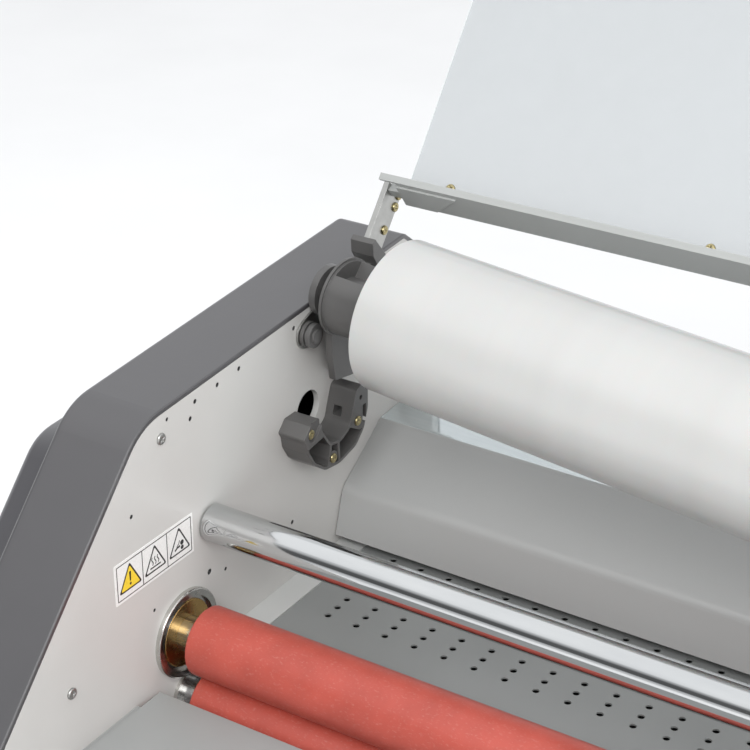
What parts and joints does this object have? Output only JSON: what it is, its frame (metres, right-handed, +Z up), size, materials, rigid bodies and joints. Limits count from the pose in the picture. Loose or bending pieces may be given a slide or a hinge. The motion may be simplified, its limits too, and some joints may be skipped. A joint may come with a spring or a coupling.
{
  "type": "roll laminator",
  "caption": "Desktop roll laminator with heated silicone nip rollers, chrome idlers, open film cradles, a loaded film roll and a swing-over clear shield",
  "frame": {"origin": "under the middle of the overall box, on the surface that the feet stand on", "axes": "+X across the machine to the operator's right, +Y to the rear, +Z up"},
  "size_m": [0.93, 0.7104, 0.7079],
  "materials": {
    "plate": "light grey fine-texture paint",
    "cover": "charcoal fine-grained plastic",
    "cover_panel": "darker charcoal plastic",
    "pan": "grey paint",
    "steel": "ground steel",
    "chrome": "polished chrome",
    "housing": "bright zinc plate",
    "silicone": "brick-red silicone, satin",
    "rubber": "black rubber",
    "pull_rubber": "black rubber on steel",
    "brass": "turned brass",
    "hood": "satin grey paint",
    "tray": "satin grey paint",
    "moulding": "charcoal glass-filled nylon",
    "film": "clear film wound to a milky gloss",
    "card": "grey-brown cardboard",
    "acrylic": "clear acrylic",
    "channel": "mid grey paint",
    "zinc": "zinc-plated steel",
    "yellow_zinc": "yellow-passivated zinc",
    "black_plastic": "black plastic",
    "belt": "black belt rubber",
    "gear": "natural acetal",
    "motor": "black paint",
    "label": "printed sticker",
    "panel": "dark control panel",
    "green_button": "green",
    "red_button": "red"
  },
  "bodies": {
    "frame": {"base_pan": "pan", "control_panel": "panel", "cradle_screws": "yellow_zinc", "drive_belt": "belt", "drive_motor": "motor", "fan_frames": "black_plastic", "feed_table": "tray", "frame_screws": "zinc", "hood": "hood", "left_cover_band": "cover", "left_cover_panel": "cover_panel", "left_side_plate": "plate", "lower_bearing_housings": "housing", "lower_cradle_left": "moulding", "lower_cradle_right": "moulding", "perforated_tray": "tray", "power_inlet": "black_plastic", "rear_guard": "acrylic", "rear_panel": "pan", "right_cover_band": "cover", "right_cover_panel": "cover_panel", "right_side_plate": "plate", "rubber_feet": "rubber", "shield_pivots": "moulding", "tie_rods": "zinc", "upper_cradle_left": "moulding", "upper_cradle_right": "moulding", "warning_label": "label"},
    "upper_carriage": {"upper_bearing_housings": "housing", "upper_bushings": "brass"},
    "upper_roller": {"upper_roller_core": "steel", "upper_roller_sleeve": "silicone", "upper_main_gear": "gear"},
    "lower_roller": {"lower_roller_core": "steel", "lower_roller_sleeve": "silicone", "lower_main_gear": "gear"},
    "upper_idler": {"upper_idler_bar": "chrome"},
    "lower_idler": {"lower_idler_bar": "chrome"},
    "upper_pull": {"upper_pull_roller": "pull_rubber"},
    "lower_pull": {"lower_pull_roller": "pull_rubber"},
    "motor_drive": {"motor_pulley": "zinc"},
    "fan_left": {"fan_rotor_left": "black_plastic"},
    "fan_right": {"fan_rotor_right": "black_plastic"},
    "nip_release": {"release_shaft": "zinc", "nip_lever": "black_plastic"},
    "mandrel": {"supply_mandrel": "moulding"},
    "film": {"film_hubs": "moulding", "film_core": "card", "film_roll": "film"},
    "shield": {"shield_arm_left": "zinc", "shield_arm_right": "zinc", "shield_channel": "channel", "shield_panel": "acrylic", "shield_screws": "yellow_zinc"},
    "run_button": {"run_button": "green_button"},
    "stop_button": {"stop_button": "red_button"},
    "emergency_stop": {"emergency_stop": "red_button"},
    "speed_knob": {"speed_knob": "black_plastic"},
    "power_rocker": {"power_rocker": "black_plastic"}
  },
  "joints": [
    {"name": "lower_roller_spin", "type": "hinge", "parent": "frame", "child": "lower_roller", "pos_m": [0, -0.064, 0.192], "axis": [1, 0, 0], "continuous": true},
    {"name": "nip_lever_turn", "type": "hinge", "parent": "frame", "child": "nip_release", "pos_m": [0, -0.112, 0.128], "axis": [-1, 0, 0], "range_deg": [0, 60]},
    {"name": "nip_lift", "type": "slide", "parent": "frame", "child": "upper_carriage", "axis": [0, 0, 1], "range_m": [0, 0.004]},
    {"name": "upper_roller_spin", "type": "hinge", "parent": "upper_carriage", "child": "upper_roller", "pos_m": [0, -0.064, 0.248], "axis": [1, 0, 0], "continuous": true},
    {"name": "upper_idler_spin", "type": "hinge", "parent": "frame", "child": "upper_idler", "pos_m": [0, -0.0275, 0.3285], "axis": [1, 0, 0], "continuous": true},
    {"name": "lower_idler_spin", "type": "hinge", "parent": "frame", "child": "lower_idler", "pos_m": [0, -0.0275, 0.1115], "axis": [1, 0, 0], "continuous": true},
    {"name": "lower_pull_spin", "type": "hinge", "parent": "frame", "child": "lower_pull", "pos_m": [0, 0.195, 0.196], "axis": [1, 0, 0], "continuous": true},
    {"name": "upper_pull_spin", "type": "hinge", "parent": "frame", "child": "upper_pull", "pos_m": [0, 0.195, 0.244], "axis": [1, 0, 0], "continuous": true},
    {"name": "motor_spin", "type": "hinge", "parent": "frame", "child": "motor_drive", "pos_m": [0, 0.06, 0.12], "axis": [1, 0, 0], "continuous": true},
    {"name": "fan_left_spin", "type": "hinge", "parent": "frame", "child": "fan_left", "pos_m": [-0.15, 0.074, 0.18], "axis": [0, 0, 1], "continuous": true},
    {"name": "fan_right_spin", "type": "hinge", "parent": "frame", "child": "fan_right", "pos_m": [0.15, 0.074, 0.18], "axis": [0, 0, 1], "continuous": true},
    {"name": "roll_seating", "type": "hinge", "parent": "frame", "child": "mandrel", "pos_m": [-0.3432, 0.12467, 0.46497], "axis": [0, -0.4834, 0.8754], "range_deg": [0, 5.32]},
    {"name": "film_spin", "type": "hinge", "parent": "mandrel", "child": "film", "pos_m": [-0.3432, 0.12467, 0.46497], "axis": [0.9957, -0.0811, -0.0448], "continuous": true},
    {"name": "shield_swing", "type": "hinge", "parent": "frame", "child": "shield", "pos_m": [0, 0.103, 0.435], "axis": [1, 0, 0], "range_deg": [0, 165]},
    {"name": "run_press", "type": "slide", "parent": "frame", "child": "run_button", "axis": [0, 0.7291, -0.6844], "range_m": [0, 0.002], "stiffness_N_per_m": 400},
    {"name": "stop_press", "type": "slide", "parent": "frame", "child": "stop_button", "axis": [0, 0.7291, -0.6844], "range_m": [0, 0.002], "stiffness_N_per_m": 400},
    {"name": "emergency_press", "type": "slide", "parent": "frame", "child": "emergency_stop", "axis": [0, 0.7291, -0.6844], "range_m": [0, 0.004], "stiffness_N_per_m": 600},
    {"name": "speed_turn", "type": "hinge", "parent": "frame", "child": "speed_knob", "pos_m": [0.393, -0.19712, 0.35682], "axis": [0, -0.7291, 0.6844], "range_deg": [0, 270]},
    {"name": "power_toggle", "type": "hinge", "parent": "frame", "child": "power_rocker", "pos_m": [0.19, 0.254, 0.095], "axis": [-1, 0, 0], "range_deg": [0, 16]}
  ],
  "couplings": [
    {"joint": "upper_roller_spin", "follows": "lower_roller_spin", "ratio": -1},
    {"joint": "lower_pull_spin", "follows": "lower_roller_spin", "ratio": 1.1667},
    {"joint": "upper_pull_spin", "follows": "lower_roller_spin", "ratio": -1.1667},
    {"joint": "motor_spin", "follows": "lower_roller_spin", "ratio": 1.75},
    {"joint": "nip_lever_turn", "follows": "nip_lift", "rad_per_m": 261.8}
  ]
}
